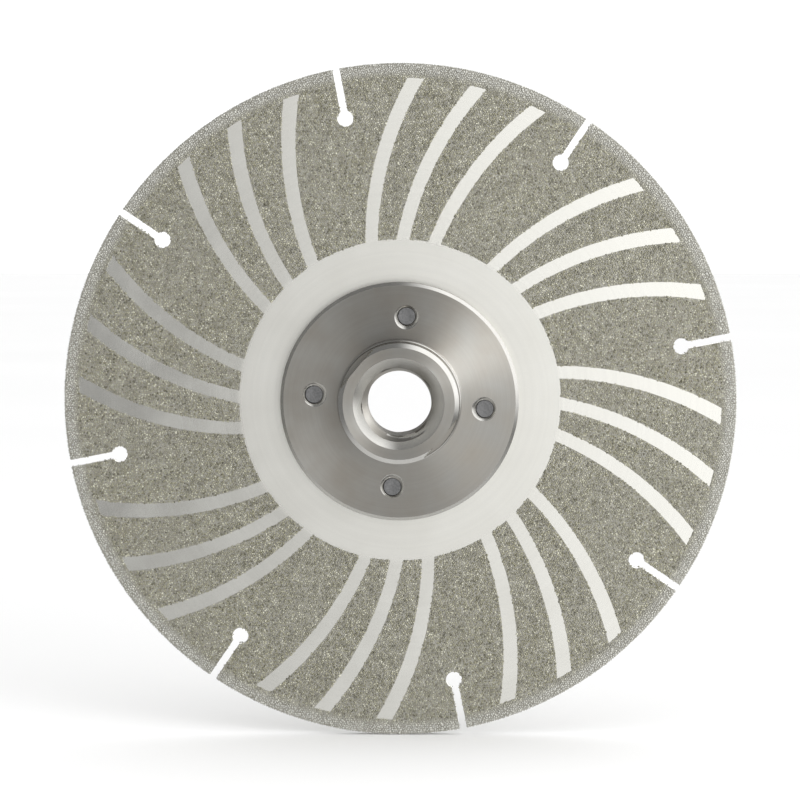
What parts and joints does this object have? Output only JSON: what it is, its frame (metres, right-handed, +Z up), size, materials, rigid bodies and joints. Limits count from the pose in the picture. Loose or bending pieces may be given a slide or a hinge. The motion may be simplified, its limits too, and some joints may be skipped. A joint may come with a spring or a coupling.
{
  "type": "angle grinder carving disc",
  "caption": "Electroplated diamond cutting and grinding disc with bare curved channels, keyhole rim slots and a demountable threaded spindle flange held by countersunk screws.",
  "frame": {"origin": "on the spin axis, at mid-thickness of the steel core", "axes": "Y is the spin axis: the flange, its boss and the grinder are on the -Y side and the work face is on the +Y side. +Z is up with the disc standing on its rim, and one flange screw is near the top"},
  "size_m": [0.125, 0.0153, 0.125],
  "materials": {
    "core_steel": "fine matt ground steel, the bare hub and the channel floors",
    "nickel_bond": "dull grey electroplated nickel between the grains",
    "diamond_grit": "rough olive-grey grains with bright facets",
    "flange_steel": "turned steel with fine rings from the lathe",
    "screw_steel": "plain zinc-plated steel"
  },
  "bodies": {
    "flange": {"flange_hub": "flange_steel"},
    "disc": {"core_plate": "core_steel", "nickel_bond_front": "nickel_bond", "nickel_bond_back": "nickel_bond", "nickel_bond_rim": "nickel_bond", "diamond_grit_front": "diamond_grit", "diamond_grit_back": "diamond_grit", "diamond_grit_rim": "diamond_grit"},
    "screw_1": {"flange_screw_1": "screw_steel"},
    "screw_2": {"flange_screw_2": "screw_steel"},
    "screw_3": {"flange_screw_3": "screw_steel"},
    "screw_4": {"flange_screw_4": "screw_steel"}
  },
  "joints": [
    {"name": "disc_lift_off", "type": "slide", "parent": "flange", "child": "disc", "axis": [0, 1, 0], "range_m": [0, 0.02]},
    {"name": "screw_1_out", "type": "slide", "parent": "disc", "child": "screw_1", "axis": [0, 1, 0], "range_m": [0, 0.012]},
    {"name": "screw_2_out", "type": "slide", "parent": "disc", "child": "screw_2", "axis": [0, 1, 0], "range_m": [0, 0.012]},
    {"name": "screw_3_out", "type": "slide", "parent": "disc", "child": "screw_3", "axis": [0, 1, 0], "range_m": [0, 0.012]},
    {"name": "screw_4_out", "type": "slide", "parent": "disc", "child": "screw_4", "axis": [0, 1, 0], "range_m": [0, 0.012]}
  ]
}
